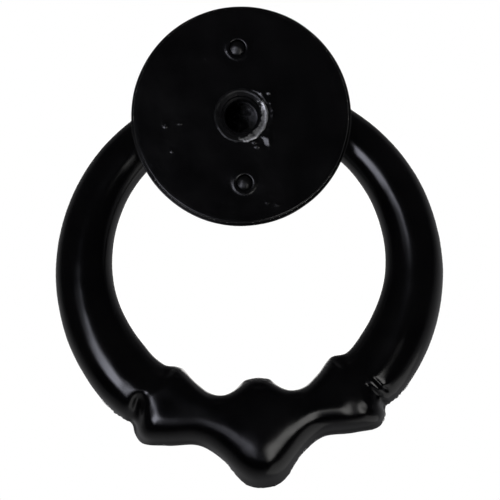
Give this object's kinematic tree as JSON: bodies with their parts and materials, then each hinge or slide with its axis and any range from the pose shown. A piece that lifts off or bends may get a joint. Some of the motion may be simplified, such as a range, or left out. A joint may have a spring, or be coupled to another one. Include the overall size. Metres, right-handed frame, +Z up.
{
  "type": "door knocker",
  "caption": "Ring door knocker in black enamelled metal: a heavy ring with a lobed drop swings on a lug in front of a round rose, fixed from behind by one bolt.",
  "frame": {"origin": "where the axis of the fixing hole meets the rear face of the back plate, which is the face of the door", "axes": "+Z up the door with the ring hanging towards -Z, +Y into the door, -Y towards the visitor"},
  "size_m": [0.0818, 0.0224, 0.1004],
  "materials": {
    "plate_enamel": "gloss black enamel",
    "rose_enamel": "gloss black enamel",
    "lug_enamel": "gloss black enamel",
    "rivet_enamel": "gloss black enamel",
    "ring_enamel": "gloss black enamel",
    "sleeve_steel": "bare turned steel",
    "pin_steel": "bare steel, ends blackened",
    "washer_steel": "blackened steel"
  },
  "bodies": {
    "mounting": {"back_plate": "plate_enamel", "front_rose": "rose_enamel", "pivot_lug": "lug_enamel", "fixing_sleeve": "sleeve_steel", "plate_rivet_upper": "rivet_enamel", "plate_rivet_lower": "rivet_enamel"},
    "ring": {"knocker_ring": "ring_enamel", "pivot_pin": "pin_steel", "spacer_washer_left": "washer_steel", "spacer_washer_right": "washer_steel"}
  },
  "joints": [
    {"name": "ring_swing", "type": "hinge", "parent": "mounting", "child": "ring", "pos_m": [0, -0.016, 0.0028], "axis": [-1, 0, 0], "range_deg": [-7, 187]}
  ]
}
